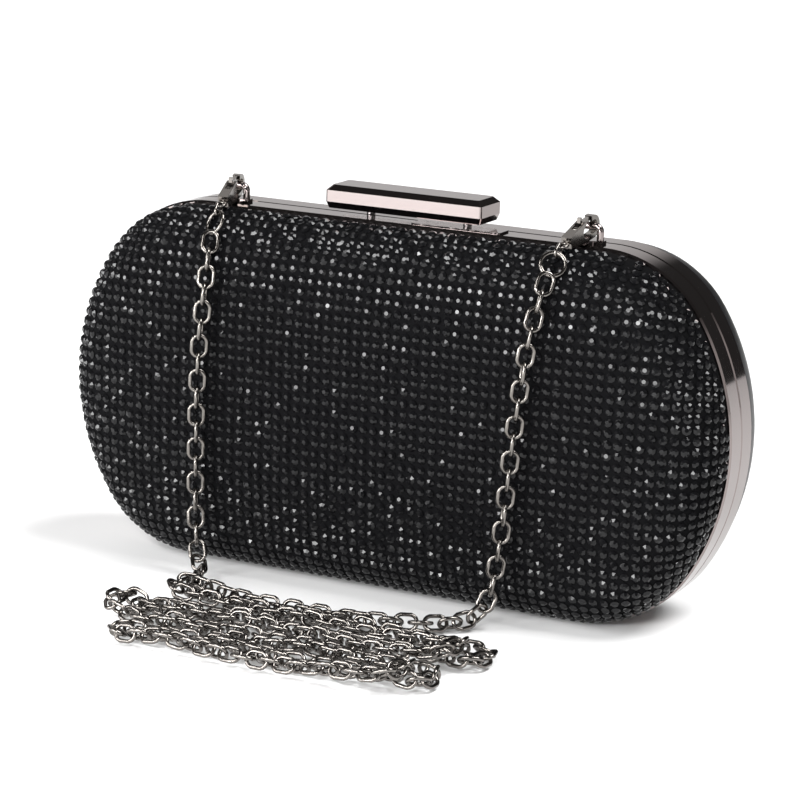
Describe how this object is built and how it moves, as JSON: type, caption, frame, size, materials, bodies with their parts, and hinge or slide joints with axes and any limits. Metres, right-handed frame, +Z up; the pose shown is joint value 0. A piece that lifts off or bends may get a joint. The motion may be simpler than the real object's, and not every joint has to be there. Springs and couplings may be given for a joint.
{
  "type": "evening clutch bag",
  "caption": "Oval hard-shell evening clutch with a polished metal frame, push-bar clasp, a studded domed front and a long clip-on chain lying folded in front.",
  "frame": {"origin": "on the floor plane under the seam of the two frame halves, at the middle of the bag", "axes": "+Z up, X along the bag, -Y to the front where the chain hangs"},
  "size_m": [0.2, 0.125, 0.1113],
  "materials": {
    "gunmetal": "polished black nickel",
    "chain_metal": "polished gunmetal plate",
    "steel": "plated steel",
    "spring_steel": "drawn wire",
    "shell_board": "moulded black",
    "studded_cover": "black fabric set with faceted jet glass stones",
    "plain_cover": "smooth black satin",
    "lining": "black satin"
  },
  "bodies": {
    "front_half": {"front_frame": "gunmetal", "front_shell": "shell_board", "front_cover": "studded_cover", "front_lining": "lining", "front_hinge_leaf_left": "gunmetal", "front_hinge_leaf_right": "gunmetal", "hinge_pin_left": "steel", "hinge_pin_right": "steel", "front_hinge_rivets": "steel", "catch_plate": "gunmetal", "catch_tongue": "steel", "catch_rivets": "steel", "left_chain_loop": "gunmetal", "right_chain_loop": "gunmetal", "left_loop_nut": "steel", "right_loop_nut": "steel", "left_chain_strand": "chain_metal", "right_chain_strand": "chain_metal", "chain_heap": "chain_metal", "left_clip_body": "chain_metal", "left_clip_pin": "chain_metal", "left_clip_swivel": "chain_metal", "left_connector_link": "chain_metal", "left_jump_ring": "chain_metal", "right_clip_body": "chain_metal", "right_clip_pin": "chain_metal", "right_clip_swivel": "chain_metal", "right_connector_link": "chain_metal", "right_jump_ring": "chain_metal"},
    "rear_half": {"rear_frame": "gunmetal", "rear_shell": "shell_board", "rear_cover": "plain_cover", "rear_lining": "lining", "rear_hinge_leaf_left": "gunmetal", "rear_hinge_leaf_right": "gunmetal", "rear_hinge_rivets": "steel", "inner_pocket": "lining", "clasp_housing": "steel", "clasp_springs": "spring_steel", "housing_rivets": "steel"},
    "clasp": {"clasp_bar": "gunmetal", "clasp_plungers": "steel", "latch_plate": "steel"},
    "left_trigger": {"left_clip_trigger": "chain_metal"},
    "right_trigger": {"right_clip_trigger": "chain_metal"}
  },
  "joints": [
    {"name": "frame_hinge", "type": "hinge", "parent": "front_half", "child": "rear_half", "pos_m": [0, 0, 0.0015], "axis": [-1, 0, 0], "range_deg": [0, 50]},
    {"name": "clasp_press", "type": "slide", "parent": "rear_half", "child": "clasp", "axis": [0, 0, -1], "range_m": [0, 0.0012], "stiffness_N_per_m": 3000, "springref_m": -0.002, "deforming": ["clasp_springs"]},
    {"name": "left_trigger_pivot", "type": "hinge", "parent": "front_half", "child": "left_trigger", "pos_m": [-0.05293, -0.00993, 0.10713], "axis": [0.9789, 0.2045, 0], "range_deg": [-20, 0], "stiffness_Nm_per_rad": 0.002, "springref_deg": 17.19},
    {"name": "right_trigger_pivot", "type": "hinge", "parent": "front_half", "child": "right_trigger", "pos_m": [0.05372, -0.01006, 0.10713], "axis": [0.9949, -0.1011, 0], "range_deg": [-20, 0], "stiffness_Nm_per_rad": 0.002, "springref_deg": 17.19}
  ]
}
